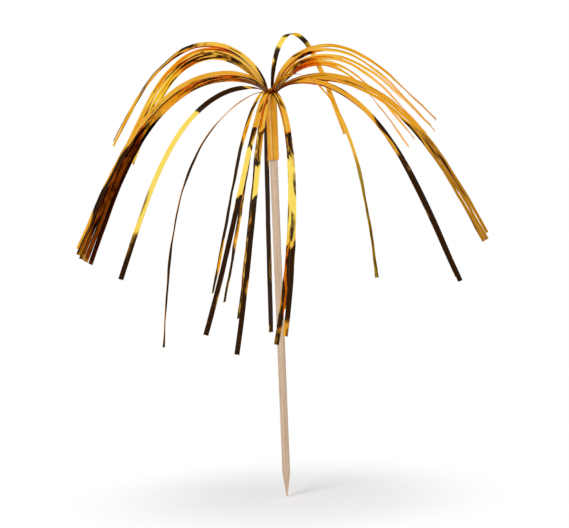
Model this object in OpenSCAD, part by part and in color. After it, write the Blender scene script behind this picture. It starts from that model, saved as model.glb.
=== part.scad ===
// Foil burst pick: a sharpened bamboo stick whose top is wrapped in a fringed strip of
// metallised film. The strip's uncut header is wound round the stick and glued, and its
// cut strands burst out above it and hang over like a small firework.
// +Z runs up the stick, and the photographed side faces -Y.
// The origin is on the stick's axis, where the point ends and the full shank begins.

/* [Stick] */
// Length of the stick over all, with its sharpened point
stick_l = 152; // [110:1:180]
// Diameter of the stick
stick_d = 3; // [2.6:0.1:3.6]
// Length of the sharpened point
point_l = 9; // [6:0.5:14]
// Diameter of the blunt end of the point
tip_d = 0.5; // [0.3:0.1:0.9]
// Chamfer round the stick's top end
top_chamfer = 0.3; // [0.1:0.05:0.5]
// Amount by which the stick's radius narrows under the film, up to its top end
seat_taper = 0.1; // [0.05:0.01:0.15]

/* [Foil header] */
// Height of the uncut band of film that is wound round the stick
header_l = 24; // [16:1:34]
// Thickness of the inner turns, pressed together
inner_wrap_t = 0.33; // [0.2:0.01:0.5]
// Thickness that stands in for the last turn of film
last_turn_t = 0.12; // [0.08:0.01:0.16]
// Angle by which the last turn laps over its own start
lap_deg = 40; // [20:5:60]
// Direction of the lap's free edge, seen from above
lap_edge_deg = 262; // [200:1:320]
// Clearance between the stick and the film, and between the turns
film_gap = 0.03; // [0.02:0.005:0.05]

/* [Foil strands] */
// Length of a strand, from the cut line to its tip
strand_l = 105; // [85:1:115]
// Full width of a strand
strand_w = 1.9; // [1.6:0.05:2.1]
// Width of a strand where it leaves the header, creased and gathered
root_w = 0.65; // [0.6:0.05:0.7]
// Thickness that stands in for the film of a strand
strand_t = 0.12; // [0.08:0.01:0.14]
// Gap between one layer of roots and the next
layer_gap = 0.04; // [0.04:0.005:0.06]
// Gap between the header's top edge and the strands' roots
root_lift = 0.15; // [0.15:0.05:0.3]
// Length over which the outermost strand of a tuft turns from upright to its launch
neck_l = 1.5; // [1.2:0.1:2]
// Length by which that turn grows for each layer further in
neck_growth_l = 0.4; // [0.35:0.05:0.5]
// Length over which the strands of a tuft fan out sideways
fan_l = 4; // [3:0.5:6]
// Length over which a strand spreads from its root's width
flare_l = 9; // [8:0.5:11]
// Length over which a strand turns from lying on the header to showing its face
twist_l = 7; // [6:0.5:9]

/* [Hidden] */
// Rings of four corners along a strand, and steps of its curve from ring to ring
rings = 18;
steps = 4;
// Rings crowd towards the root, where the bend is tight
crowding = 1.5;
// Corners in the last turn's outline, for a full circle
turn_corners = 60;

stick_r = stick_d / 2;
seat_top_r = stick_r - seat_taper;
shank_l = stick_l - point_l;
hub_z = shank_l;
inner_turns_r = stick_r + film_gap;
last_turn_r = inner_turns_r + inner_wrap_t + film_gap;
header_r = last_turn_r + last_turn_t;
root_r = (inner_turns_r + header_r) / 2;
layer_pitch = strand_t + layer_gap;

// Every strand is a tongue of the one strip. They lie in ten tufts round the stick.
// Each tuft has a name and a direction, seen from above, with 0 to the right and 90 behind.
TUFTS = [
    ["right", 0], ["right_high", 36], ["back_right", 72], ["back", 108], ["back_left", 144],
    ["left", 180], ["left_front", 216], ["front_left", 252], ["front_right", 288], ["right_low", 324],
];

// The strands of each tuft, from the innermost, steepest one outwards:
// heading from the tuft's direction, launch above level and fall at the tip in degrees,
// how long the launch is held, how sharply it then bends (both powers of the length share),
// the strand's length as a share of strand_l, its twist and its sideways drift in degrees.
BEND_SHARES = [
    // right
    [[-4, 39, -62, 1.0, 2.6, 1.05, 30, 0], [0, 36, -63, 1.0, 2.6, 1.06, 35, 0],
     [4, 33, -63, 1.0, 2.6, 1.05, 40, 0]],
    // right_high
    [[-6, 66, -42, 1.4, 3.6, 0.87, 45, 0], [-3, 60, -44, 1.4, 3.6, 0.89, 45, 0],
     [0, 50, -40, 1.4, 3.4, 0.86, 50, 0], [3, 48, -42, 1.4, 3.4, 0.87, 50, 0],
     [6, 46, -44, 1.4, 3.4, 0.84, 50, 0], [9, 44, -46, 1.4, 3.4, 0.85, 50, 0]],
    // back_right
    [[-5, 82, -48, 1.6, 5.0, 0.98, -30, 0], [-6, -24, -72, 1.0, 4.0, 0.98, -12, 54],
     [-8, -34, -73, 1.0, 4.0, 0.98, -12, 66]],
    // back
    [[4, -6, -70, 1.0, 4.0, 0.97, -15, 22], [-4, -16, -70, 1.0, 4.0, 0.98, -12, 28],
     [-8, -26, -73, 1.0, 4.0, 1.0, -12, 26], [-14, -36, -78, 1.0, 4.0, 1.0, -10, 0]],
    // back_left
    [[5, 60, -54, 1.6, 3.2, 0.92, -45, 0], [4, 58, -55, 1.6, 3.2, 0.93, -50, 0],
     [2, 56, -58, 1.6, 3.2, 0.9, -70, 0], [1, 54, -59, 1.6, 3.2, 0.9, -70, 0],
     [0, 52, -60, 1.6, 3.2, 0.89, -70, 0], [-1, 50, -61, 1.6, 3.2, 0.88, -70, 0]],
    // left
    [[4, 50, -64, 1.0, 2.9, 1.05, -60, 0], [2, 48, -65, 1.0, 2.9, 1.06, -60, 0],
     [0, 46, -66, 1.0, 2.9, 1.06, -60, 0], [-2, 44, -67, 1.0, 2.9, 1.05, -60, 0],
     [-4, 42, -68, 1.0, 2.9, 1.04, -60, 0], [-14, -16, -84, 1.0, 2.6, 1.08, 8, 0]],
    // left_front
    [[-5, 24, -67, 1.0, 2.9, 0.98, -45, 0]],
    // front_left
    [[4, -22, -67, 1.0, 4.0, 1.0, -15, -36], [10, -33, -74, 1.0, 4.0, 1.01, -12, -32]],
    // front_right
    [[16, 44, -80, 1.0, 2.4, 1.08, -20, 0], [7, -24, -72, 1.0, 4.0, 0.98, 12, -58],
     [9, -34, -73, 1.0, 4.0, 0.98, 12, -74]],
    // right_low
    [[3, 33, -65, 1.0, 3.0, 1.1, 40, 0], [6, 31, -66, 1.0, 3.0, 1.1, 45, 0]],
];

HEADING_DEG = 0;
LAUNCH_DEG = 1;
FALL_DEG = 2;
HOLD = 3;
BEND = 4;
LENGTH_SHARE = 5;
TWIST_DEG = 6;
DRIFT_DEG = 7;

function strand_name(tuft, layer) = str(TUFTS[tuft][0], "_strand_", layer + 1);

foil_gold = [0.86, 0.60, 0.12];
foil_amber = [0.78, 0.47, 0.08];

// Rise of a strand above level, in degrees, at a share of its length and a distance along it
function rise(row, neck, share, along) =
    row[FALL_DEG] + (row[LAUNCH_DEG] - row[FALL_DEG]) * pow(1 - pow(share, row[HOLD]), row[BEND])
    + (90 - row[LAUNCH_DEG]) * exp(-along / neck);

// Heading of a strand at the same place: it fans out of its tuft once it has left the header
function heading(row, direction, share, along) =
    direction + row[HEADING_DEG] * (1 - exp(-along / fan_l)) + row[DRIFT_DEG] * share;

function forward(rise_deg, heading_deg) =
    [cos(rise_deg) * cos(heading_deg), cos(rise_deg) * sin(heading_deg), sin(rise_deg)];

function width_at(along) = strand_w - (strand_w - root_w) * exp(-along / flare_l);

// Distances along the strand at which its curve is worked out
function stations(length) = [for (i = [0:rings * steps]) length * pow(i / (rings * steps), crowding)];

// The strand's centreline: each step goes on in the direction that holds halfway along it
function centreline(row, neck, direction, start, at, length) = [
    for (i = 0, p = start; i < len(at);
        half = i + 1 < len(at) ? (at[i] + at[i + 1]) / 2 : 0,
        step = i + 1 < len(at) ? at[i + 1] - at[i] : 0,
        p = p + step * forward(rise(row, neck, half / length, half),
            heading(row, direction, half / length, half)),
        i = i + 1) p
];

// The four corners of the film's section at one station
function section(row, neck, direction, centre, along, length) =
    let (
        share = along / length,
        head = heading(row, direction, share, along),
        ahead = forward(rise(row, neck, share, along), head),
        side = [-sin(head), cos(head), 0],
        up = cross(ahead, side),
        twist = row[TWIST_DEG] * (1 - exp(-along / twist_l)),
        across = (side * cos(twist) + up * sin(twist)) * width_at(along) / 2,
        through = (up * cos(twist) - side * sin(twist)) * strand_t / 2
    )
    [centre - across - through, centre + across - through,
     centre + across + through, centre - across + through];

module stick() {
    color([0.85, 0.72, 0.55])
        rotate_extrude($fn = 64)
            polygon([
                [0, -point_l], [tip_d / 2, -point_l], [stick_r, 0], [stick_r, shank_l - header_l],
                [seat_top_r, shank_l - top_chamfer], [seat_top_r - top_chamfer, shank_l],
                [0, shank_l],
            ]);
}

module header_inner_turns() {
    color(foil_amber)
        translate([0, 0, hub_z - header_l])
            difference() {
                cylinder(r = inner_turns_r + inner_wrap_t, h = header_l, $fn = 64);
                translate([0, 0, -film_gap])
                    cylinder(r1 = inner_turns_r, r2 = seat_top_r + film_gap,
                        h = header_l + 2 * film_gap, $fn = 64);
            }
}

// The last turn spirals outwards by its own thickness, so that its end laps over its start
module header_last_turn() {
    whole = 360 + lap_deg;
    corners = round(turn_corners * whole / 360);
    growth = (last_turn_t + film_gap) / 360;
    start = lap_edge_deg - whole;
    function point_at(a, out) = (last_turn_r + out + growth * a) * [cos(start + a), sin(start + a)];
    color(foil_gold)
        translate([0, 0, hub_z - header_l])
            linear_extrude(header_l)
                polygon(concat(
                    [for (i = [0:corners]) point_at(whole * i / corners, 0)],
                    [for (i = [corners:-1:0]) point_at(whole * i / corners, last_turn_t)]
                ));
}

module strand(tuft, layer) {
    row = BEND_SHARES[tuft][layer];
    direction = TUFTS[tuft][1];
    length = strand_l * row[LENGTH_SHARE];
    layers = len(BEND_SHARES[tuft]);
    r = root_r + (layer - (layers - 1) / 2) * layer_pitch;
    neck = neck_l + (layers - 1 - layer) * neck_growth_l;
    start = [r * cos(direction), r * sin(direction), hub_z + root_lift];
    at = stations(length);
    line = centreline(row, neck, direction, start, at, length);
    corners = [for (k = [0:rings])
        each section(row, neck, direction, line[k * steps], at[k * steps], length)];
    last = 4 * rings;
    color(foil_gold)
        polyhedron(
            points = corners,
            faces = concat(
                [[0, 1, 2], [0, 2, 3]],
                [for (k = [0:rings - 1]) for (c = [0:3]) each [
                    [4 * k + c, 4 * k + 4 + c, 4 * k + (c + 1) % 4],
                    [4 * k + (c + 1) % 4, 4 * k + 4 + c, 4 * k + 4 + (c + 1) % 4],
                ]],
                [[last, last + 2, last + 1], [last, last + 3, last + 2]]
            )
        );
}

stick();
header_inner_turns();
header_last_turn();
for (tuft = [0:len(TUFTS) - 1]) for (layer = [0:len(BEND_SHARES[tuft]) - 1])
    strand(tuft, layer);
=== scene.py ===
# %% [markdown]
# # A foil burst cocktail pick
# The pick is a bamboo stick whose top is wound with a strip of gold metallised film. The strip's
# edge is cut into strands, which burst out of the winding and arch over like a small firework.
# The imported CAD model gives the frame: every piece made here is placed by it and rides on one of
# its bodies. The solids are right in size and place but stiff and plain. What makes film look like
# film is added here: thin cupped ribbons, creases and a mirror finish, and the bamboo's grain.

# %% Load the frame
import math

import bpy
import numpy as np
from mathutils import Matrix, Vector


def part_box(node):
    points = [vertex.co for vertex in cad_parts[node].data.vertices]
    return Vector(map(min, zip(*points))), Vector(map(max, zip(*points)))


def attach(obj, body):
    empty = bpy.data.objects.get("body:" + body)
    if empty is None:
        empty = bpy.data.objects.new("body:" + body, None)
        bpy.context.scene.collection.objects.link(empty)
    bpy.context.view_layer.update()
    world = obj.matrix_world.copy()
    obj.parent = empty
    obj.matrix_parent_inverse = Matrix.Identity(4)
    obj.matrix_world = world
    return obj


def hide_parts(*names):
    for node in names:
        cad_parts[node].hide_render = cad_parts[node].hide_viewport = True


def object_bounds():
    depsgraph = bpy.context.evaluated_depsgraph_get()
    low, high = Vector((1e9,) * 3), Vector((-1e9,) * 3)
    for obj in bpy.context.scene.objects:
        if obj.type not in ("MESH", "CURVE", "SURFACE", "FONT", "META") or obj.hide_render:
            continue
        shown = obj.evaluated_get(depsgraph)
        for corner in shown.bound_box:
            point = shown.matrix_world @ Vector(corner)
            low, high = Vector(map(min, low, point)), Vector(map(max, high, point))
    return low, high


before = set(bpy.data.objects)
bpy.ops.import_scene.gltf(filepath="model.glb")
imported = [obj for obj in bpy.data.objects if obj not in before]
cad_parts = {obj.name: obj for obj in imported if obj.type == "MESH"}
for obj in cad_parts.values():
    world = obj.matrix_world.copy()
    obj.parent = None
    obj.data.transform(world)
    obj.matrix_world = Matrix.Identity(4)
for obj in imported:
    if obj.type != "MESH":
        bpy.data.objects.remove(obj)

cad_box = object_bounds()
MM = 0.001
print("CAD box, mm:", [round(v / MM, 1) for corner in cad_box for v in corner])

# %% [markdown]
# The camera comes first. It looks at the pick from slightly above and is rolled a little, so the
# stick leans. It could be placed by eye, but with the view's middle, distance and scale written
# down, every look can be checked against the last. A long lens at nearly a metre keeps the
# perspective weak.

# %% Camera
PICTURE_W = 569
PX_PER_MM = 2.65
VIEW_TARGET = Vector((2.5, 0, 79.5)) * MM
VIEW_DISTANCE = 900 * MM
VIEW_ELEVATION = math.radians(5)
VIEW_ROLL = math.radians(-2.285)
NEAREST, FARTHEST = 0.01, 50    # what the camera sees lies between these distances, in metres


def add_object(name, data):
    """A new object in the scene, at the origin."""
    made = bpy.data.objects.new(name, data)
    bpy.context.scene.collection.objects.link(made)
    return made


camera_data = bpy.data.cameras.new("camera")
camera = add_object("camera", camera_data)
bpy.context.scene.camera = camera
backwards = Vector((0, -math.cos(VIEW_ELEVATION), math.sin(VIEW_ELEVATION)))
facing = (-backwards).to_track_quat("-Z", "Y").to_matrix().to_4x4()
camera.matrix_world = (Matrix.Translation(VIEW_TARGET + backwards * VIEW_DISTANCE)
                       @ facing @ Matrix.Rotation(VIEW_ROLL, 4, "Z"))
camera_data.lens = camera_data.sensor_width * VIEW_DISTANCE / (PICTURE_W / PX_PER_MM * MM)
camera_data.clip_start, camera_data.clip_end = NEAREST, FARTHEST
print("lens, mm:", round(camera_data.lens, 1))

# %% [markdown]
# Each strand follows the same rule as its solid in the CAD model: it leaves the header upright,
# turns to its launch angle, and falls more and more steeply towards its tip. The rows below are
# the CAD model's own, tuft by tuft, from the innermost strand outwards: heading from the tuft's
# direction, launch, fall, how long the launch is held, how sharply it then bends, the length as a
# share of the strands' length, the twist and the sideways drift. A curve drawn by hand could give
# each strand's line as well, but it wouldn't lie where the solid lies.

# %% The strands' bends
TUFTS = {
    "right": (0, [
        (-4, 39, -62, 1.0, 2.6, 1.05, 30, 0), (0, 36, -63, 1.0, 2.6, 1.06, 35, 0),
        (4, 33, -63, 1.0, 2.6, 1.05, 40, 0)]),
    "right_high": (36, [
        (-6, 66, -42, 1.4, 3.6, 0.87, 45, 0), (-3, 60, -44, 1.4, 3.6, 0.89, 45, 0),
        (0, 50, -40, 1.4, 3.4, 0.86, 50, 0), (3, 48, -42, 1.4, 3.4, 0.87, 50, 0),
        (6, 46, -44, 1.4, 3.4, 0.84, 50, 0), (9, 44, -46, 1.4, 3.4, 0.85, 50, 0)]),
    "back_right": (72, [
        (-5, 82, -48, 1.6, 5.0, 0.98, -30, 0), (-6, -24, -72, 1.0, 4.0, 0.98, -12, 54),
        (-8, -34, -73, 1.0, 4.0, 0.98, -12, 66)]),
    "back": (108, [
        (4, -6, -70, 1.0, 4.0, 0.97, -15, 22), (-4, -16, -70, 1.0, 4.0, 0.98, -12, 28),
        (-8, -26, -73, 1.0, 4.0, 1.0, -12, 26), (-14, -36, -78, 1.0, 4.0, 1.0, -10, 0)]),
    "back_left": (144, [
        (5, 60, -54, 1.6, 3.2, 0.92, -45, 0), (4, 58, -55, 1.6, 3.2, 0.93, -50, 0),
        (2, 56, -58, 1.6, 3.2, 0.9, -70, 0), (1, 54, -59, 1.6, 3.2, 0.9, -70, 0),
        (0, 52, -60, 1.6, 3.2, 0.89, -70, 0), (-1, 50, -61, 1.6, 3.2, 0.88, -70, 0)]),
    "left": (180, [
        (4, 50, -64, 1.0, 2.9, 1.05, -60, 0), (2, 48, -65, 1.0, 2.9, 1.06, -60, 0),
        (0, 46, -66, 1.0, 2.9, 1.06, -60, 0), (-2, 44, -67, 1.0, 2.9, 1.05, -60, 0),
        (-4, 42, -68, 1.0, 2.9, 1.04, -60, 0), (-14, -16, -84, 1.0, 2.6, 1.08, 8, 0)]),
    "left_front": (216, [
        (-5, 24, -67, 1.0, 2.9, 0.98, -45, 0)]),
    "front_left": (252, [
        (4, -22, -67, 1.0, 4.0, 1.0, -15, -36), (10, -33, -74, 1.0, 4.0, 1.01, -12, -32)]),
    "front_right": (288, [
        (16, 44, -80, 1.0, 2.4, 1.08, -20, 0), (7, -24, -72, 1.0, 4.0, 0.98, 12, -58),
        (9, -34, -73, 1.0, 4.0, 0.98, 12, -74)]),
    "right_low": (324, [
        (3, 33, -65, 1.0, 3.0, 1.1, 40, 0), (6, 31, -66, 1.0, 3.0, 1.1, 45, 0)]),
}
LENGTH_SHARE = 5                                  # its place in a row
# The strands' size, in mm, their places in the header, and how far along each turn settles
STRAND_L, STRAND_W, ROOT_W, STRAND_T = 105, 1.9, 0.65, 0.12
ROOT_R, ROOT_LIFT, LAYER_PITCH = 1.77, 0.15, 0.16
NECK_L, NECK_GROWTH_L, FAN_L, FLARE_L, TWIST_L = 1.5, 0.4, 4, 9, 7

header_low, header_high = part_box("header_inner_turns")
HUB_Z = header_high.z / MM
print("strands:", sum(len(rows) for _, rows in TUFTS.values()), "hub at", round(HUB_Z, 2), "mm")

# %% [markdown]
# The next functions give a strand's centreline, and at each place on it the directions across the
# film and through it. Stations crowd towards the root, where the bend is tight. Each step along
# the centreline goes in the direction that holds halfway along the step, as in the CAD model.

# %% A strand's centreline and frame
CROWDING = 1.35


def unit(rise, heading):
    """Unit vectors at these angles, in radians, above level and round the stick."""
    return np.stack([np.cos(rise) * np.cos(heading), np.cos(rise) * np.sin(heading),
                     np.sin(rise)], axis=-1)


def stations(length, count):
    """Distances along a strand, closer together near its root."""
    return length * (np.arange(count) / (count - 1)) ** CROWDING


def width_at(along, root_w=ROOT_W, flare_l=FLARE_L):
    """The film's width: narrow where it leaves the header, and soon the strand's full width."""
    return STRAND_W - (STRAND_W - root_w) * np.exp(-along / flare_l)


def strand_line(row, direction, layer, layers, along, extra_turn=0):
    """Points of the strand, and the directions across and through its film, at these distances."""
    turn, launch, fall, hold, bend, length_share, twist, drift = row
    length = STRAND_L * length_share
    neck = NECK_L + (layers - 1 - layer) * NECK_GROWTH_L
    r = ROOT_R + (layer - (layers - 1) / 2) * LAYER_PITCH

    def angles(at):
        share = at / length
        rise = (fall + (launch - fall) * (1 - share ** hold) ** bend
                + (90 - launch) * np.exp(-at / neck))
        heading = direction + turn * (1 - np.exp(-at / FAN_L)) + drift * share
        return np.radians(rise), np.radians(heading)

    halfway = (along[1:] + along[:-1]) / 2
    steps = np.diff(along)[:, None] * unit(*angles(halfway))
    a = math.radians(direction)
    start = np.array([r * math.cos(a), r * math.sin(a), HUB_Z + ROOT_LIFT])
    points = start + np.vstack([np.zeros(3), np.cumsum(steps, axis=0)])
    rise, heading = angles(along)
    side = np.stack([-np.sin(heading), np.cos(heading), 0 * heading], axis=-1)
    up = np.cross(unit(rise, heading), side)
    t = np.radians(twist * (1 - np.exp(-along / TWIST_L)) + extra_turn)[:, None]
    return points, side * np.cos(t) + up * np.sin(t), up * np.cos(t) - side * np.sin(t)


print("a strand's width, mm:", round(width_at(0), 2), "at its root and",
      round(float(width_at(STRAND_L)), 2), "at its tip")

# %% [markdown]
# Before anything is built on these lines, each one is worked out as the solid that the CAD model
# has, and its box is set against that node's box. A slip in a row could be looked for in a
# picture, but a measure finds it at once.

# %% Check against the solids
CHECK_STATIONS = 200
worst = 0
for tuft, (direction, rows) in TUFTS.items():
    for layer, row in enumerate(rows):
        along = stations(STRAND_L * row[LENGTH_SHARE], CHECK_STATIONS)
        points, across, through = strand_line(row, direction, layer, len(rows), along)
        half = width_at(along)[:, None] / 2
        corners = np.concatenate([points + s * across * half + t * through * STRAND_T / 2
                                  for s in (-1, 1) for t in (-1, 1)])
        low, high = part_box(f"{tuft}_strand_{layer + 1}")
        worst = max(worst, np.abs(corners.min(0) - np.array(low) / MM).max(),
                    np.abs(corners.max(0) - np.array(high) / MM).max())
print("largest difference from the CAD strands' boxes, mm:", round(float(worst), 3))

# %% [markdown]
# Metallised film is a mirror that has been creased. Two shader groups carry what all the gold
# pieces share: the first gives the film its colour, with painted highlights and painted shade, the
# second its streaks and dimples. Each could be drawn anew in every material, but a group is built
# once, and a material only gives it values.
# Both read the UV map, which runs across the film in u and along it in v, so that the streaks
# follow a strand however it bends. The helpers here make a shader tree as short to write as a sum.

# %% Helpers for nodes
def add(tree, kind, *sources, **values):
    """A node of that kind. Sources go to its inputs in order, values to settings and inputs by
    name. Each is a plain value, or another node's socket, which is linked."""
    made = tree.nodes.new(kind)
    feeds = list(zip(made.inputs, sources))
    for name, value in values.items():
        if hasattr(made, name):
            setattr(made, name, value)
        else:
            feeds.append((made.inputs[name.replace("_", " ")], value))
    for socket, value in feeds:
        if isinstance(value, bpy.types.NodeSocket):
            tree.links.new(value, socket)
        else:
            socket.default_value = value
    return made


def reckon(tree, operation, *sources):
    """The result of a Math node."""
    return add(tree, "ShaderNodeMath", *sources, operation=operation).outputs[0]


def ramp(tree, source, start, end, low=0.0, high=1.0, curve="LINEAR"):
    """A value that runs from low to high while its source runs from start to end."""
    return add(tree, "ShaderNodeMapRange", interpolation_type=curve, Value=source, From_Min=start,
               From_Max=end, To_Min=low, To_Max=high).outputs[0]


def blend_colors(tree, share, first, second):
    """A mix of two colours: the first at share 0, the second at share 1."""
    made = add(tree, "ShaderNodeMix", data_type="RGBA")
    for place, source in ((0, share), (6, first), (7, second)):
        tree.links.new(source, made.inputs[place])
    return made.outputs[2]


print("helpers for nodes: add, reckon, ramp and blend_colors")


# %% Helpers for groups and materials
def new_group(name, inputs, outputs):
    """An empty shader group with these sockets: name, socket type and, for an input, a value.
    With it come the sockets that its nodes read from and the sockets that they feed."""
    group = bpy.data.node_groups.new(name, "ShaderNodeTree")
    for socket, kind, value in inputs:
        made = group.interface.new_socket(socket, in_out="INPUT", socket_type=kind)
        if value is not None:
            made.default_value = value
    for socket, kind in outputs:
        group.interface.new_socket(socket, in_out="OUTPUT", socket_type=kind)
    return (group, group.nodes.new("NodeGroupInput").outputs,
            group.nodes.new("NodeGroupOutput").inputs)


def bare_material(name):
    """A material with nothing but its output node, its tree and the output's socket."""
    material = bpy.data.materials.new(name)
    material.use_nodes = True
    tree = material.node_tree
    tree.nodes.clear()
    return material, tree, tree.nodes.new("ShaderNodeOutputMaterial").inputs["Surface"]


def new_material(name):
    """A material with a Principled shader."""
    material, tree, surface = bare_material(name)
    shader = tree.nodes.new("ShaderNodeBsdfPrincipled")
    tree.links.new(shader.outputs[0], surface)
    return material, tree, shader


print("helpers for groups and materials: new_group, bare_material and new_material")

# %% [markdown]
# The film's colour is one gold, and over a stretch of the strand another: a lemon that is a painted
# highlight, say, or a brown that is a painted reflection of something dark. Such stretches could be
# painted on, strand by strand. Worked out from the distance along the strand, they can be moved by
# changing a number. Their ends wander a little by noise, so that they don't look cut, and the same
# noise strews faint patches of the second gold elsewhere.

# %% The film's colour: two golds
AMBER, LEMON, BRONZE = (0.80, 0.36, 0.025), (0.96, 0.72, 0.12), (0.42, 0.18, 0.012)
# The edges' pale wear with a painted highlight, and the root folds' painted shade
EDGE_WEAR_AND_HIGHLIGHT, ROOT_SHADOW = (0.95, 0.74, 0.38), (0.22, 0.028, 0.006)
PAST_TIP = 2                         # no strand reaches this share of its length
NO_SHADE = 0.001                     # a root's shade so short that it doesn't show
PATCHES = (1.6, 9, 1)                # how often the noise changes across the film and along it
WANDER, END_FADE = 0.12, 0.04        # shares of the length


def drawn_out_noise(tree, entry, scale, detail=2.0):
    """Noise over the film's UV map, finer or coarser across and along it, with its own seed."""
    place = add(tree, "ShaderNodeMapping", Vector=entry["UV"], Scale=scale)
    return add(tree, "ShaderNodeTexNoise", noise_dimensions="4D", Vector=place.outputs[0],
               W=entry["Seed"], Scale=1.0, Detail=detail).outputs[0]


# The film's colour, with its painted highlights and painted shade
film_tint_and_painted_light, tint_in, tint_out = new_group(
    "film_tint_and_painted_light",
    [("UV", "NodeSocketVector", None), ("Gold", "NodeSocketColor", (*AMBER, 1)),
     ("Stretch", "NodeSocketColor", (*LEMON, 1)), ("Edge", "NodeSocketColor", (*EDGE_WEAR_AND_HIGHLIGHT, 1)),
     ("Stretch From", "NodeSocketFloat", PAST_TIP),
     ("Stretch To", "NodeSocketFloat", PAST_TIP + 1),
     ("Root", "NodeSocketColor", (*ROOT_SHADOW, 1)), ("Root To", "NodeSocketFloat", NO_SHADE),
     ("Seed", "NodeSocketFloat", 0.0)],
    [("Color", "NodeSocketColor")])
across_film, along_film, _ = add(film_tint_and_painted_light, "ShaderNodeSeparateXYZ", tint_in["UV"]).outputs
patches = drawn_out_noise(film_tint_and_painted_light, tint_in, PATCHES)
wander = reckon(film_tint_and_painted_light, "MULTIPLY_ADD", patches, WANDER, -WANDER / 2)
place = reckon(film_tint_and_painted_light, "ADD", along_film, wander)
begun, ended = [ramp(film_tint_and_painted_light, reckon(film_tint_and_painted_light, "SUBTRACT", place, tint_in[end]),
                     -END_FADE, END_FADE, curve="SMOOTHSTEP")
                for end in ("Stretch From", "Stretch To")]
in_stretch = reckon(film_tint_and_painted_light, "SUBTRACT", begun, ended)
stray = ramp(film_tint_and_painted_light, patches, 0.45, 0.8, high=0.5)
second_gold = reckon(film_tint_and_painted_light, "MAXIMUM", in_stretch, stray)
two_golds = blend_colors(film_tint_and_painted_light, second_gold, tint_in["Gold"], tint_in["Stretch"])
print("film_tint_and_painted_light, two golds:", len(film_tint_and_painted_light.nodes), "nodes")

# %% [markdown]
# Near the header the strands are gathered, and their folds see only each other, so they go dark
# and reddish there. Folds that fine would need very many faces, so streaks of painted shade, noise
# that fades out along the strand, stand for them. Handling rubs the film's edges, where the metal
# wears paler, and the pale band along them is partly that wear and partly a painted highlight.

# %% The film's colour: painted shade of the root folds, and pale edges with a painted highlight
GATHERS = (3.5, 10, 1)
folds = drawn_out_noise(film_tint_and_painted_light, tint_in, GATHERS)
near_root = ramp(film_tint_and_painted_light, along_film, 0.0, tint_in["Root To"], low=1.0, high=0.0,
                 curve="SMOOTHSTEP")
gathered = reckon(film_tint_and_painted_light, "MULTIPLY", ramp(film_tint_and_painted_light, folds, 0.36, 0.48), near_root)
rooted = blend_colors(film_tint_and_painted_light, gathered, two_golds, tint_in["Root"])

from_middle = reckon(film_tint_and_painted_light, "ABSOLUTE", reckon(film_tint_and_painted_light, "SUBTRACT", across_film, 0.5))
# A pale band along both edges: the edges' wear, and a painted highlight
edge_band = ramp(film_tint_and_painted_light, from_middle, 0.43, 0.49, high=0.8)
wear_and_highlight = reckon(film_tint_and_painted_light, "MULTIPLY", edge_band, patches)
edged = blend_colors(film_tint_and_painted_light, wear_and_highlight, rooted, tint_in["Edge"])
film_tint_and_painted_light.links.new(edged, tint_out["Color"])
print("group film_tint_and_painted_light:", len(film_tint_and_painted_light.nodes), "nodes")

# %% [markdown]
# The second group gives a height for the bump: long streaks, and dimples that are wide and short.
# Waves in the mesh could do it too, and the ribbons have those as well, but creases this fine are
# cheaper in the shader. The streaks also haze the mirror a little, because a crease scatters light.

# %% The film's streaks and dimples
STREAKS, DIMPLES = (3.0, 1.5, 1), (0.8, 14, 1)
DIMPLE_DEPTH = 0.6
film_creases, crease_in, crease_out = new_group(
    "film_creases", [("UV", "NodeSocketVector", None), ("Seed", "NodeSocketFloat", 0.0)],
    [("Height", "NodeSocketFloat"), ("Roughness", "NodeSocketFloat")])
streaks = drawn_out_noise(film_creases, crease_in, STREAKS, detail=3.0)
dimples = drawn_out_noise(film_creases, crease_in, DIMPLES)
film_creases.links.new(reckon(film_creases, "MULTIPLY_ADD", dimples, DIMPLE_DEPTH, streaks),
                       crease_out["Height"])
film_creases.links.new(ramp(film_creases, streaks, 0.35, 0.7, low=0.05, high=0.14),
                       crease_out["Roughness"])
print("group film_creases:", len(film_creases.nodes), "nodes")

# %% [markdown]
# Both groups go into one recipe for gold film. Metallic makes it a mirror, the base colour tints
# what it shows, and Specular Tint warms the glint at grazing angles. A film's own values are its
# seed, its golds and its shade. Most strands need no gold of their own, so four plain films, each
# with its own seed, are enough for them.

# %% Gold film
CREASE_DEPTH = 0.03 * MM
GRAZING_GOLD = (0.80, 0.45, 0.15, 1)


def gold_film(name, seed, stretch_from=PAST_TIP, stretch_to=PAST_TIP + 1, stretch=LEMON,
              gold=AMBER, relief=0.35, root_to=NO_SHADE, metallic=1):
    """Gold film with a stretch of a second gold, a painted reflection, and the painted shade of
    dark folds from its root as far as root_to.
    """
    material, tree, shader = new_material(name)
    uv = add(tree, "ShaderNodeUVMap", uv_map="film").outputs[0]
    tint = add(tree, "ShaderNodeGroup", node_tree=film_tint_and_painted_light)
    creases = add(tree, "ShaderNodeGroup", node_tree=film_creases)
    for socket, value in (("Gold", (*gold, 1)), ("Stretch", (*stretch, 1)),
                          ("Stretch From", stretch_from), ("Stretch To", stretch_to),
                          ("Root To", root_to)):
        tint.inputs[socket].default_value = value
    for group in (tint, creases):
        group.inputs["Seed"].default_value = seed
        tree.links.new(uv, group.inputs["UV"])
    bump = add(tree, "ShaderNodeBump", Strength=relief, Distance=CREASE_DEPTH,
               Height=creases.outputs["Height"])
    tree.links.new(tint.outputs["Color"], shader.inputs["Base Color"])
    tree.links.new(creases.outputs["Roughness"], shader.inputs["Roughness"])
    tree.links.new(bump.outputs[0], shader.inputs["Normal"])
    shader.inputs["Metallic"].default_value = metallic
    shader.inputs["Specular Tint"].default_value = GRAZING_GOLD
    return material


ROOT_SHADE = 0.14
plain_films = [gold_film(f"gold_film_{n + 1}", 3.7 * n + 1.2, root_to=ROOT_SHADE)
               for n in range(4)]
print("plain gold films:", len(plain_films))

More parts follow.
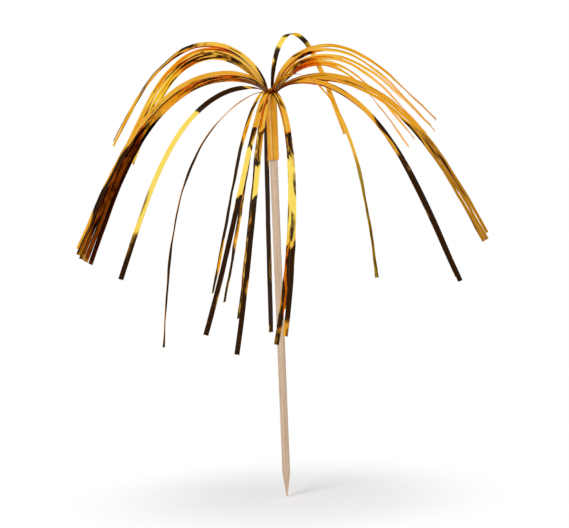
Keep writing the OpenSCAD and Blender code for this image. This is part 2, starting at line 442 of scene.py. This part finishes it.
# %% [markdown]
# The strands aren't all alike. Some have a stretch of bright lemon, a painted highlight; the broad
# bands at the left and right turn bronze or umber towards their tips, painted reflections of the
# dark; the high ones at the right end in peach, another painted highlight; and one drooping strand
# ends in olive. Those at the back are a paler gold. Colours drawn at random would give such a mix,
# but not each in its place, so each of these strands gets a film of its own: from where to where
# its stretch goes, as shares of its length, the stretch's colour and, if it isn't amber, the
# strand's own gold. The four strands in front have wider roots that catch the light, so theirs go
# without the root's shade.

# %% The strands' own golds
UMBER, OLIVE, PEACH = (0.09, 0.026, 0.008), (0.34, 0.22, 0.02), (1.0, 0.58, 0.22)
PALE_GOLD, WARM_GOLD = (0.95, 0.62, 0.10), (0.90, 0.50, 0.06)
# Wider roots: the width at the root and how fast the film widens from it, in mm
WIDE_ROOTS = {
    "front_left_strand_1": (1.0, 3.5), "front_left_strand_2": (1.0, 3.5),
    "front_right_strand_2": (1.0, 3.5), "front_right_strand_3": (1.0, 3.5),
}
# Lemon stretches: painted highlights, where a strand shows a bright reflection
LEMON_PAINTED_HIGHLIGHTS = {
    "front_left_strand_1": (0.27, 0.53), "front_left_strand_2": (0.29, 0.49),
    "front_right_strand_2": (0.29, 0.66), "front_right_strand_3": (0.27, 0.62),
    "left_front_strand_1": (0.30, 0.84), "back_right_strand_1": (0.14, 0.50),
    "back_left_strand_4": (0.58, PAST_TIP), "back_left_strand_5": (0.54, PAST_TIP),
    "back_left_strand_6": (0.50, PAST_TIP),
}
# Bronze and umber stretches: painted shade, reflections of the dark painted on
DARK_PAINTED_REFLECTIONS = {
    "left_strand_2": (0.54, PAST_TIP, BRONZE, PALE_GOLD),
    "left_strand_3": (0.50, PAST_TIP, BRONZE, PALE_GOLD),
    "left_strand_4": (0.52, PAST_TIP, BRONZE, PALE_GOLD),
    "left_strand_5": (0.43, PAST_TIP, UMBER, PALE_GOLD),
    "right_strand_1": (0.60, PAST_TIP, BRONZE), "right_strand_2": (0.56, PAST_TIP, BRONZE),
    "right_strand_3": (0.62, PAST_TIP, BRONZE),
}
# Peach ends: painted highlights
PEACH_PAINTED_HIGHLIGHTS = {f"right_high_strand_{n + 2}": (0.66 - 0.03 * n, PAST_TIP, PEACH, WARM_GOLD)
                   for n in range(5)}
NO_STRETCH = (PAST_TIP, PAST_TIP + 1, LEMON)
OTHER_GOLDS = {
    "back_strand_1": (*NO_STRETCH, PALE_GOLD), "back_strand_2": (*NO_STRETCH, PALE_GOLD),
    "back_strand_3": (*NO_STRETCH, PALE_GOLD), "back_strand_4": (*NO_STRETCH, PALE_GOLD),
    "front_right_strand_1": (0.62, PAST_TIP, OLIVE, WARM_GOLD),
    "back_left_strand_1": (*NO_STRETCH, WARM_GOLD), "back_left_strand_2": (*NO_STRETCH, WARM_GOLD),
    "back_left_strand_3": (*NO_STRETCH, WARM_GOLD),
}
own_films = {}
for table, seed_step, first_seed in ((LEMON_PAINTED_HIGHLIGHTS, 2.9, 0.4), (DARK_PAINTED_REFLECTIONS, 1.7, 0.9),
                                     (PEACH_PAINTED_HIGHLIGHTS, 2.3, 0.7), (OTHER_GOLDS, 3.1, 1.5)):
    for n, (node, golds) in enumerate(table.items()):
        own_films[node] = gold_film(f"gold_film_{node}", seed_step * n + first_seed, *golds,
                                    root_to=NO_SHADE if node in WIDE_ROOTS else ROOT_SHADE)
print("strands with a film of their own:", len(own_films))

# %% [markdown]
# What a mirror shows depends on where it faces. A real strand is kinked here and there, so that
# one length shows light and the next shows dark. Light and dark could be painted on, but they
# would stay put when the pick turns. So the kinks below turn a strand's face at chosen places, and
# the calmer strands flutter less, so that they shine in one long piece.

# %% Kinks and calm films
# Kinks: the share of the length where the face turns, to how many degrees from the CAD strand's,
# and over what share of the length it does so
KINKS = {
    "front_left_strand_1": [(0.22, -32, 0.04), (0.31, 0, 0.04), (0.49, -38, 0.04),
                            (0.84, -47, 0.08)],
    "front_left_strand_2": [(0.20, -30, 0.04), (0.33, 0, 0.04), (0.45, -32, 0.04)],
    "front_right_strand_2": [(0.24, -32, 0.04), (0.33, -10, 0.04), (0.68, -44, 0.06)],
    "front_right_strand_3": [(0.22, -40, 0.04), (0.31, -14, 0.04), (0.64, -50, 0.06)],
    "left_front_strand_1": [(0.10, -30, 0.06), (0.33, 0, 0.04), (0.82, -12, 0.04)],
    "left_strand_1": [(0.50, 8, 0.10)],
    "left_strand_2": [(0.54, -13, 0.12)],
    "left_strand_3": [(0.48, -12, 0.08)],
    "left_strand_4": [(0.52, -12, 0.14)],
    "left_strand_5": [(0.46, -11, 0.10)],
    "back_right_strand_1": [(0.03, 68, 0.06), (0.30, 0, 0.20)],
    "right_strand_1": [(0.55, 10, 0.20)],
    "right_strand_2": [(0.50, 8, 0.20)],
    "right_strand_3": [(0.50, 6, 0.20)],
}
# How much of the usual flutter and cupping the flatter films keep
CALM = {
    "left_front_strand_1": 0.35, "left_strand_3": 0.6, "left_strand_4": 0.5, "left_strand_5": 0.5,
    "back_right_strand_1": 0.5,
}


def kinked(node, share):
    """How far the film's face is turned from the CAD strand's, in degrees."""
    angle, before = 0 * share, 0
    for place, degrees, spread in KINKS.get(node, []):
        x = np.clip((share - place) / spread + 0.5, 0, 1)
        angle = angle + (degrees - before) * x * x * (3 - 2 * x)    # eases in and out
        before = degrees
    return angle


print("kinked strands:", len(KINKS), "calm ones:", len(CALM))

# %% [markdown]
# All the film is thin sheet with two faces and an edge. It could be a plane with a Solidify
# modifier. Here its closed skin is built from two grids of points, one for each face, because the
# rows and columns of those grids also say how far along and across the film each point lies, and
# the UV map comes straight from that.

# %% A closed skin of film
SHARP_EDGE = math.radians(50)    # a bend sharper than this shows as an edge


def film_mesh(name, outer, inner, along_v):
    """A closed skin from two grids of points, in mm, and how far along the film each row is."""
    rows, columns = outer.shape[:2]
    points = np.concatenate([outer.reshape(-1, 3), inner.reshape(-1, 3)]) * MM
    shift = rows * columns
    faces, uvs = [], []

    def quad(corners, places):
        faces.append(corners)
        uvs.extend(places)

    u = np.linspace(0, 1, columns)
    for i in range(rows - 1):
        for j in range(columns - 1):
            a, b = i * columns + j, (i + 1) * columns + j
            flat = ((u[j], along_v[i]), (u[j + 1], along_v[i]),
                    (u[j + 1], along_v[i + 1]), (u[j], along_v[i + 1]))
            quad((a, a + 1, b + 1, b), flat)
            quad((a + shift, b + shift, b + 1 + shift, a + 1 + shift),
                 (flat[0], flat[3], flat[2], flat[1]))
        for j in (0, columns - 1):
            a, b = i * columns + j, (i + 1) * columns + j
            corners = (a, b, b + shift, a + shift)
            quad(corners if j == 0 else corners[::-1], [(u[j], along_v[i])] * 4)
    for i in (0, rows - 1):
        for j in range(columns - 1):
            a = i * columns + j
            corners = (a, a + shift, a + 1 + shift, a + 1)
            quad(corners if i == 0 else corners[::-1], [(u[j], along_v[i])] * 4)
    mesh = bpy.data.meshes.new(name)
    mesh.from_pydata([tuple(p) for p in points], [], faces)
    mesh.uv_layers.new(name="film").data.foreach_set("uv", np.array(uvs, np.float32).ravel())
    mesh.polygons.foreach_set("use_smooth", [True] * len(faces))
    mesh.set_sharp_from_angle(angle=SHARP_EDGE)
    return add_object(name, mesh)


print("film's bends are smooth up to", round(math.degrees(SHARP_EDGE)), "degrees")

# %% [markdown]
# A strand's ribbon is far thinner than it is wide. It is cupped along its middle, most of all
# near the header, where it is gathered. Small waves, and a slow flutter of its twist, tilt it to
# and fro, so that it catches the light in patches. A cloth simulation would crumple the film too,
# but slowly and never quite where its solid lies. Sums of sines with seeded phases do it at once,
# and in the same way each time.

# %% Waves in the film
LOOSE_L = 14                                      # the film hangs loose this far from the header
FLUTTER = ((7, 46), (3.5, 17))                    # height in degrees, wavelength in mm
RIPPLES = ((0.10, 21), (0.035, 8), (0.012, 3.5))  # height and wavelength in mm
CUP, ROOT_CUP, ROOT_CUP_L = 0.07, 0.10, 8         # the cup's depth, more at the root, in mm
CUP_SWELL, CUP_WAVES = 0.5, ((1, 30),)            # and how it swells and ebbs
CUP_LEVEL = 0.33                                  # keeps a cupped ribbon's mean on its centreline
WAVE_SPREAD, PHASES = (0.8, 1.25), (0, 6.28)      # how much a wave's length and start may differ


def waves(along, sizes, rng):
    """A sum of sines of these (height, wavelength), each with its own phase."""
    return sum(h * np.sin(2 * np.pi * along / (w * rng.uniform(*WAVE_SPREAD))
                          + rng.uniform(*PHASES)) for h, w in sizes)


print("a ribbon flutters by at most", sum(h for h, _ in FLUTTER), "degrees")

# %% One strand's ribbon
FILM_T = 0.05
FILM_ROOT = 0.6, 5.5                              # the root's width and its flare's length, mm
ACROSS_POINTS, STATIONS = 7, 150


def ribbon(node, row, direction, layer, layers, rng):
    """The film of one strand."""
    length = STRAND_L * row[LENGTH_SHARE]
    along = stations(length, STATIONS)
    points, across, through = strand_line(row, direction, layer, layers, along,
                                          kinked(node, along / length))
    loose = 1 - np.exp(-along / LOOSE_L)
    calm = CALM.get(node, 1)
    flutter = np.radians(calm * loose * waves(along, FLUTTER, rng))[:, None]
    across, through = (across * np.cos(flutter) + through * np.sin(flutter),
                       through * np.cos(flutter) - across * np.sin(flutter))
    lift = loose * waves(along, RIPPLES, rng)
    cup = ((CUP * calm + ROOT_CUP * np.exp(-along / ROOT_CUP_L))
           * (1 + CUP_SWELL * waves(along, CUP_WAVES, rng)))
    half = width_at(along, *WIDE_ROOTS.get(node, FILM_ROOT)) / 2
    u = np.linspace(-1, 1, ACROSS_POINTS)[None, :, None]
    grids = []
    for face in (1, -1):
        height = ((lift + face * FILM_T / 2)[:, None, None]
                  - cup[:, None, None] * (u ** 2 - CUP_LEVEL))
        grids.append(points[:, None, :] + across[:, None, :] * u * half[:, None, None]
                     + through[:, None, :] * height)
    return film_mesh(f"{node}_film", *grids, along / length)


print("a ribbon's points:", 2 * ACROSS_POINTS * STATIONS)

# %% [markdown]
# Each ribbon stands for one solid of the CAD model. It rides on its tuft's body, hides the solid
# and gets its finish. The ribbons could be joined into one piece for each tuft, but then no strand
# could be found by its name. The plain films are dealt out at random, by the same seed each time.

# %% All the ribbons
rng = np.random.default_rng(41)
made = 0
for tuft, (direction, rows) in TUFTS.items():
    for layer, row in enumerate(rows):
        node = f"{tuft}_strand_{layer + 1}"
        strip = ribbon(node, row, direction, layer, len(rows), rng)
        plain = plain_films[int(rng.integers(len(plain_films)))]
        strip.data.materials.append(own_films.get(node, plain))
        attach(strip, f"{tuft}_tuft")
        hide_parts(node)
        made += 1
print("ribbons:", made)

# %% [markdown]
# Below the burst the uncut film is wound round the stick. Its outermost turn laps over its own
# start, and the film's tension leaves it with shallow upright pleats and a few slanting wrinkles.
# A tube with a bump would look much the same from afar. It is modelled as one spiral sheet
# instead, so that the free edge stands a film's thickness proud. Its wrinkles scatter light, so
# its film is a little less metallic than the strands'.

# %% The wound header
HEADER_ROWS, HEADER_COLUMNS = 60, 150
LAST_TURN_R, LAST_TURN_T, FILM_GAP = 1.89, 0.12, 0.03
LAP_DEG, LAP_EDGE_DEG = 40, 262
ROUND_R = 2                                       # turns an angle into a distance round the film
PLEATS = ((0.018, 1.1), (0.012, 0.47))            # height and wavelength in mm
PLEATS_BELOW, PLEATS_ABOVE = 0.5, 1.3             # the film is gathered more towards the burst
# Wrinkles: their height in mm, how fast they climb and go round, and how often they come in groups
SLANT_H, SLANT_RISE, SLANT_ROUND, SLANT_GROUPS = 0.016, 0.9, 2.2, 0.37
WRAP_INSET = 0.02                                 # keeps the pleats' crests near the solid's face

rng = np.random.default_rng(7)
turn = np.linspace(0, 1, HEADER_COLUMNS)
angle = np.radians(LAP_EDGE_DEG - (360 + LAP_DEG) * (1 - turn))
spiral_r = LAST_TURN_R + (LAST_TURN_T + FILM_GAP) / 360 * (360 + LAP_DEG) * turn
rise = np.linspace(header_low.z / MM, header_high.z / MM, HEADER_ROWS)
pleats = waves(angle * ROUND_R, PLEATS, rng)[None, :]
slants = SLANT_H * np.sin(rise[:, None] * SLANT_RISE + angle[None, :] * SLANT_ROUND)
slants *= np.clip(np.sin(rise[:, None] * SLANT_GROUPS + 1), 0, 1)
relief = pleats * np.linspace(PLEATS_BELOW, PLEATS_ABOVE, HEADER_ROWS)[:, None] + slants
grids = []
for depth in (LAST_TURN_T - WRAP_INSET, LAST_TURN_T - WRAP_INSET - FILM_T):
    r = spiral_r[None, :] + depth + relief
    grids.append(np.stack([r * np.cos(angle), r * np.sin(angle),
                           np.repeat(rise[:, None], HEADER_COLUMNS, 1)], axis=-1))
wrap = film_mesh("header_wrap_film", *grids, (rise - rise[0]) / STRAND_L)
wrap.data.materials.append(gold_film("gold_film_header", 5.5, relief=0.6, metallic=0.7))
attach(wrap, "stick_and_header")
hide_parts("header_last_turn")
print("header:", HEADER_ROWS * HEADER_COLUMNS, "points a side")

# %% [markdown]
# Where the band ends, above the stick, its film is folded in over the stick's end and crumpled.
# A flat cap would close the hole, but light would never break on it. So this is a small pleated
# dome in the middle of the burst. Its outline steps in quickly, so that it stays clear of the
# strands' roots round it, and its top is uneven.

# %% The film folded in over the stick's end
FOLD_ROWS, FOLD_COLUMNS = 26, 121
FOLD_R = (1.24, 1.05, 0.98, 0.84, 0.55, 0.12)     # the dome's outline: radius and height, mm
FOLD_RISE = (0.03, 0.5, 1.5, 2.3, 2.75, 2.9)
FOLD_HOLE = 0.03                                  # where the folds meet at its top
FOLD_LIMIT, STEP_IN, STEP_H = 1.25, 0.15, 0.5     # its room among the roots, less higher up
FOLD_PULL = 0.05                                  # how much the folds draw it in
DEEP_PLEAT, DEEP_PLEATS, UNEVEN = 0.07, 9, 0.8    # depth in mm and how many round it
FINE_PLEAT, FINE_PLEATS = 0.04, 17
SAG, SAGS, SMALL_SAG, SMALL_SAGS = 0.125, 3, 0.06, 7    # how deep its top sinks, and how often
# A deeper, redder gold: painted shade in the crumpled middle of the burst
FOLD_SHADED_GOLD = (0.62, 0.22, 0.02)

at = np.linspace(0, len(FOLD_R) - 1, FOLD_ROWS)
fold_r = np.interp(at, range(len(FOLD_R)), FOLD_R)
fold_h = np.interp(at, range(len(FOLD_RISE)), FOLD_RISE)
limit = FOLD_LIMIT - STEP_IN * np.clip(fold_h / STEP_H, 0, 1)
round_it = np.linspace(0, 2 * np.pi, FOLD_COLUMNS)
deep = np.sin(np.linspace(0, np.pi, FOLD_ROWS) * 0.85 + 0.15)    # shallow at its foot and top
pleat = (DEEP_PLEAT * np.sin(DEEP_PLEATS * round_it + UNEVEN * np.sin(2 * round_it))
         + FINE_PLEAT * np.sin(FINE_PLEATS * round_it + 1.3))
sag = SAG * np.sin(SAGS * round_it + 0.6) + SMALL_SAG * np.sin(SMALL_SAGS * round_it)
grids = []
for depth in (0, FILM_T):
    r = (fold_r[:, None] * (1 - FOLD_PULL * deep[:, None]) + pleat[None, :] * deep[:, None]
         - depth)
    r = np.clip(r, FOLD_HOLE, limit[:, None])
    z = (HUB_Z + fold_h[:, None] * (1 + sag[None, :] / FOLD_RISE[-1])
         - depth * (at / at[-1])[:, None])
    grids.append(np.stack([r * np.cos(round_it), r * np.sin(round_it), z], axis=-1))
fold = film_mesh("header_fold_film", *grids, at / at[-1])
fold.data.materials.append(gold_film("gold_film_fold", 8.1, relief=0.8, gold=FOLD_SHADED_GOLD))
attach(fold, "stick_and_header")
print("fold over the stick's end:", FOLD_ROWS, "by", FOLD_COLUMNS, "points")

# %% [markdown]
# Of the inner turns only their edges show, in the thin ring at the header's ends. A new piece for
# so little would be wasted, so their CAD solid stays and only gets a finish. It has no UV map, so
# the film's colour group reads the object's own coordinates.

# %% The winding's inner turns
INNER_PATCHES = (200, 200, 30)       # patches of a few millimetres, drawn out along the stick
inner, tree, shader = new_material("gold_film_inner")
place = add(tree, "ShaderNodeTexCoord").outputs["Object"]
stretched = add(tree, "ShaderNodeMapping", Vector=place, Scale=INNER_PATCHES)
tint = add(tree, "ShaderNodeGroup", node_tree=film_tint_and_painted_light)
tree.links.new(stretched.outputs[0], tint.inputs["UV"])
tree.links.new(tint.outputs["Color"], shader.inputs["Base Color"])
shader.inputs["Metallic"].default_value = 1
shader.inputs["Roughness"].default_value = 0.2
inner_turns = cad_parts["header_inner_turns"]
inner_turns.data.materials.clear()
inner_turns.data.materials.append(inner)
print("inner turns:", len(inner_turns.data.polygons), "faces")

# %% [markdown]
# The stick is bare bamboo: pale, with fine straight fibres along its length, a few darker ones
# among them, and a slight sheen. The CAD solid already has its shape. A picture of bamboo could
# be wrapped round it, but noise needs no file and shows no repeats: it is squeezed across the
# stick and drawn out along it, and it feeds the colour, the roughness and a shallow bump.

# %% Bamboo
FIBRES, BANDS = (2600, 2600, 45), (500, 500, 12)  # how often they change in a metre, each way
BAND_SHARE = 0.6
FIBRE_DEPTH = 0.05 * MM
bamboo_grain, grain_in, grain_out = new_group(
    "bamboo_grain",
    [("Vector", "NodeSocketVector", None), ("Light", "NodeSocketColor", (0.66, 0.50, 0.36, 1)),
     ("Dark", "NodeSocketColor", (0.45, 0.31, 0.20, 1))],
    [("Color", "NodeSocketColor"), ("Height", "NodeSocketFloat"),
     ("Roughness", "NodeSocketFloat")])
fine = add(bamboo_grain, "ShaderNodeMapping", Vector=grain_in["Vector"], Scale=FIBRES)
fibres = add(bamboo_grain, "ShaderNodeTexNoise", Vector=fine.outputs[0], Scale=1.0, Detail=4.0,
             Roughness=0.6).outputs[0]
broad = add(bamboo_grain, "ShaderNodeMapping", Vector=grain_in["Vector"], Scale=BANDS)
bands = add(bamboo_grain, "ShaderNodeTexNoise", Vector=broad.outputs[0], Scale=1.0,
            Detail=2.0).outputs[0]
grain = reckon(bamboo_grain, "MULTIPLY_ADD", bands, BAND_SHARE, fibres)
grain_color = blend_colors(bamboo_grain, ramp(bamboo_grain, grain, 0.6, 1.05),
                           grain_in["Light"], grain_in["Dark"])
bamboo_grain.links.new(grain_color, grain_out["Color"])
bamboo_grain.links.new(fibres, grain_out["Height"])
bamboo_grain.links.new(ramp(bamboo_grain, fibres, 0.0, 1.0, low=0.45, high=0.65),
                       grain_out["Roughness"])
print("group bamboo_grain:", len(bamboo_grain.nodes), "nodes")

# %% The stick's finish
bamboo, tree, shader = new_material("bare_bamboo")
grain = add(tree, "ShaderNodeGroup", node_tree=bamboo_grain)
tree.links.new(add(tree, "ShaderNodeTexCoord").outputs["Object"], grain.inputs["Vector"])
bump = add(tree, "ShaderNodeBump", Strength=0.35, Distance=FIBRE_DEPTH,
           Height=grain.outputs["Height"])
tree.links.new(grain.outputs["Color"], shader.inputs["Base Color"])
tree.links.new(grain.outputs["Roughness"], shader.inputs["Roughness"])
tree.links.new(bump.outputs[0], shader.inputs["Normal"])
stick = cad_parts["stick"]
stick.data.materials.clear()
stick.data.materials.append(bamboo)
print("stick:", len(stick.data.polygons), "faces")

# %% [markdown]
# The floor is plain and pale. Close to the pick it takes its shadow, and farther off it fades to
# the white that the camera sees behind it. A curved backdrop would hide the floor's far edge too,
# but it would need far more light to look white. The world is white to the camera and in mirrors,
# and dimmer as a light, so that it doesn't wash the colours out.

# %% Floor
FLOOR_Z = cad_box[0].z - 0.3 * MM
FLOOR_HALF = 6
FLOOR_TONE = (0.93, 0.93, 0.93, 1)
FADE_FROM, FADE_TO = 0.015, 0.09     # distances from the stick's axis, in metres


def backdrop_rays(tree):
    """1 for the rays that see the backdrop as white: the camera's, glossy and transmitted ones."""
    seen_by = add(tree, "ShaderNodeLightPath").outputs
    rays = reckon(tree, "MAXIMUM", seen_by["Is Camera Ray"], seen_by["Is Glossy Ray"])
    return reckon(tree, "MAXIMUM", rays, seen_by["Is Transmission Ray"])


floor_mesh = bpy.data.meshes.new("floor")
floor_mesh.from_pydata([(x * FLOOR_HALF, y * FLOOR_HALF, FLOOR_Z)
                        for x, y in ((-1, -1), (1, -1), (1, 1), (-1, 1))], [], [(0, 1, 2, 3)])
floor = add_object("floor", floor_mesh)
pale, tree, surface = bare_material("pale_floor")
shader = add(tree, "ShaderNodeBsdfPrincipled", Base_Color=FLOOR_TONE, Roughness=0.7)
flat = add(tree, "ShaderNodeVectorMath", add(tree, "ShaderNodeTexCoord").outputs["Object"],
           (1, 1, 0), operation="MULTIPLY")
distance = add(tree, "ShaderNodeVectorMath", flat.outputs[0], operation="LENGTH")
away = ramp(tree, distance.outputs["Value"], FADE_FROM, FADE_TO, curve="SMOOTHSTEP")
mixed = add(tree, "ShaderNodeMixShader", reckon(tree, "MULTIPLY", away, backdrop_rays(tree)),
            shader.outputs[0], add(tree, "ShaderNodeEmission").outputs[0])
tree.links.new(mixed.outputs[0], surface)
floor_mesh.materials.append(pale)
print("floor at", round(FLOOR_Z / MM, 1), "mm")

# %% World
ROOM_LIGHT, WHITE = 0.55, 1.0
world = bpy.data.worlds.new("studio")
bpy.context.scene.world = world
world.use_nodes = True
tree = world.node_tree
tree.nodes.clear()
output = tree.nodes.new("ShaderNodeOutputWorld")
background = add(tree, "ShaderNodeBackground", Color=(1, 1, 1, 1),
                 Strength=ramp(tree, backdrop_rays(tree), 0.0, 1.0, ROOM_LIGHT, WHITE))
tree.links.new(background.outputs[0], output.inputs["Surface"])
print("the room lights at", ROOM_LIGHT, "and is seen at", WHITE)

# %% [markdown]
# What the mirror film shows matters more than what the camera sees: a mirror in an all-white room
# looks flat. Lamps alone would give it a few hot spots on black. As in a light tent for pictures
# of silverware, dark cloth with openings stands round the pick instead. The cloth beside an
# opening is half lit, and a thin scrim hangs round the opening's rim, so that a strand's
# reflection passes from light to dark over a short length. Only reflections see the tent. Below
# the pick its cloth lies just over the floor.

# %% The dark tent's openings and cloths
TENT_R, TENT_STEP = 0.8, 3                  # metres, and a panel's width and height in degrees
TENT_DROP = HUB_Z * MM - FLOOR_Z - 4 * MM   # from the hub down to the cloth over the floor
FLATTEST = 0.01                             # the least slope, as a sine, that is divided by
# Openings, in degrees: direction from and to (0 right, 90 behind), elevation from and to
OPENINGS = [(222, 321, 42, 84), (255, 276, 24, 42), (231, 255, 18, 42), (198, 234, 33, 60),
            (159, 198, 6, 48), (126, 159, 0, 33), (60, 84, 0, 33), (3, 60, 3, 51),
            (345, 360, 0, 30), (0, 3, 0, 30), (0, 321, 51, 84), (321, 360, 63, 84),
            (66, 252, -90, 0), (276, 360, -12, 0), (0, 66, -12, 0), (0, 360, -90, -78),
            (0, 66, -78, -51)]
CLOTHS = {"dark_cloth": (0.036, 0.030, 0.120), "half_lit_cloth": (0.30, 0.24, 0.19),
          "scrim": (0.74, 0.68, 0.60)}
DARK, HALF_LIT, SCRIM = range(len(CLOTHS))


def is_open(direction, elevation):
    return any(a0 <= direction <= a1 and e0 <= elevation <= e1 for a0, a1, e0, e1 in OPENINGS)


def cloth_at(direction, elevation):
    """The cloth of the panel with this middle, or None inside an opening."""
    ring = [is_open((direction + d) % 360, elevation + e)
            for d in (-TENT_STEP, 0, TENT_STEP) for e in (-TENT_STEP, 0, TENT_STEP) if d or e]
    if is_open(direction, elevation):
        return None if all(ring) else SCRIM
    return HALF_LIT if any(ring) else DARK


print("openings:", len(OPENINGS), "cloths:", ", ".join(CLOTHS))

# %% The dark tent
corners, faces, kinds = {}, [], []


def corner(direction, elevation):
    """The number of the tent's corner in this direction from the hub."""
    key = (direction % 360, elevation)
    if key not in corners:
        a, e = math.radians(direction), math.radians(elevation)
        r = min(TENT_R, TENT_DROP / max(-math.sin(e), FLATTEST))
        corners[key] = (len(corners), (r * math.cos(e) * math.cos(a),
                                       r * math.cos(e) * math.sin(a),
                                       HUB_Z * MM + r * math.sin(e)))
    return corners[key][0]


for direction in range(0, 360, TENT_STEP):
    for elevation in range(-90, 90, TENT_STEP):
        kind = cloth_at(direction + TENT_STEP / 2, elevation + TENT_STEP / 2)
        if kind is None:
            continue
        kinds.append(kind)
        faces.append([corner(direction, elevation), corner(direction + TENT_STEP, elevation),
                      corner(direction + TENT_STEP, elevation + TENT_STEP),
                      corner(direction, elevation + TENT_STEP)])
tent_mesh = bpy.data.meshes.new("dark_tent")
tent_mesh.from_pydata([place for _, place in corners.values()], [], faces)
tent = add_object("dark_tent", tent_mesh)
for name, color in CLOTHS.items():
    cloth, tree, surface = bare_material(name)
    glow = add(tree, "ShaderNodeEmission", Color=(*color, 1), Strength=1.0)
    tree.links.new(glow.outputs[0], surface)
    tent_mesh.materials.append(cloth)
tent_mesh.polygons.foreach_set("material_index", kinds)
tent.visible_camera = tent.visible_diffuse = tent.visible_shadow = False
tent.visible_transmission = tent.visible_volume_scatter = False
print("tent's panels:", kinds.count(DARK), "dark,", kinds.count(HALF_LIT), "half lit and",
      kinds.count(SCRIM), "of scrim")

# %% [markdown]
# Two large soft lamps give the shadow on the floor and the light on the bamboo. A sun or a small
# lamp would throw a hard shadow of every strand. They are hidden from reflections, because the
# tent already says what the film shows.

# %% Lamps
BURST_MIDDLE = (0, 0, 0.08)


def lamp(name, place, size, watts):
    """A square lamp there, turned to the burst."""
    data = bpy.data.lights.new(name, "AREA")
    data.energy, data.size = watts, size
    made = add_object(name, data)
    made.location = place
    aim = Vector(BURST_MIDDLE) - Vector(place)
    made.rotation_euler = aim.to_track_quat("-Z", "Y").to_euler()
    made.visible_glossy = False


lamp("key", (-0.5, -0.7, 0.8), size=0.5, watts=6)
lamp("fill", (0.8, -0.5, 0.4), size=0.6, watts=3)
print("lamps: 2")

# %% [markdown]
# Last come the plain view settings.

# %% Finish
bpy.context.scene.view_settings.view_transform = "Standard"
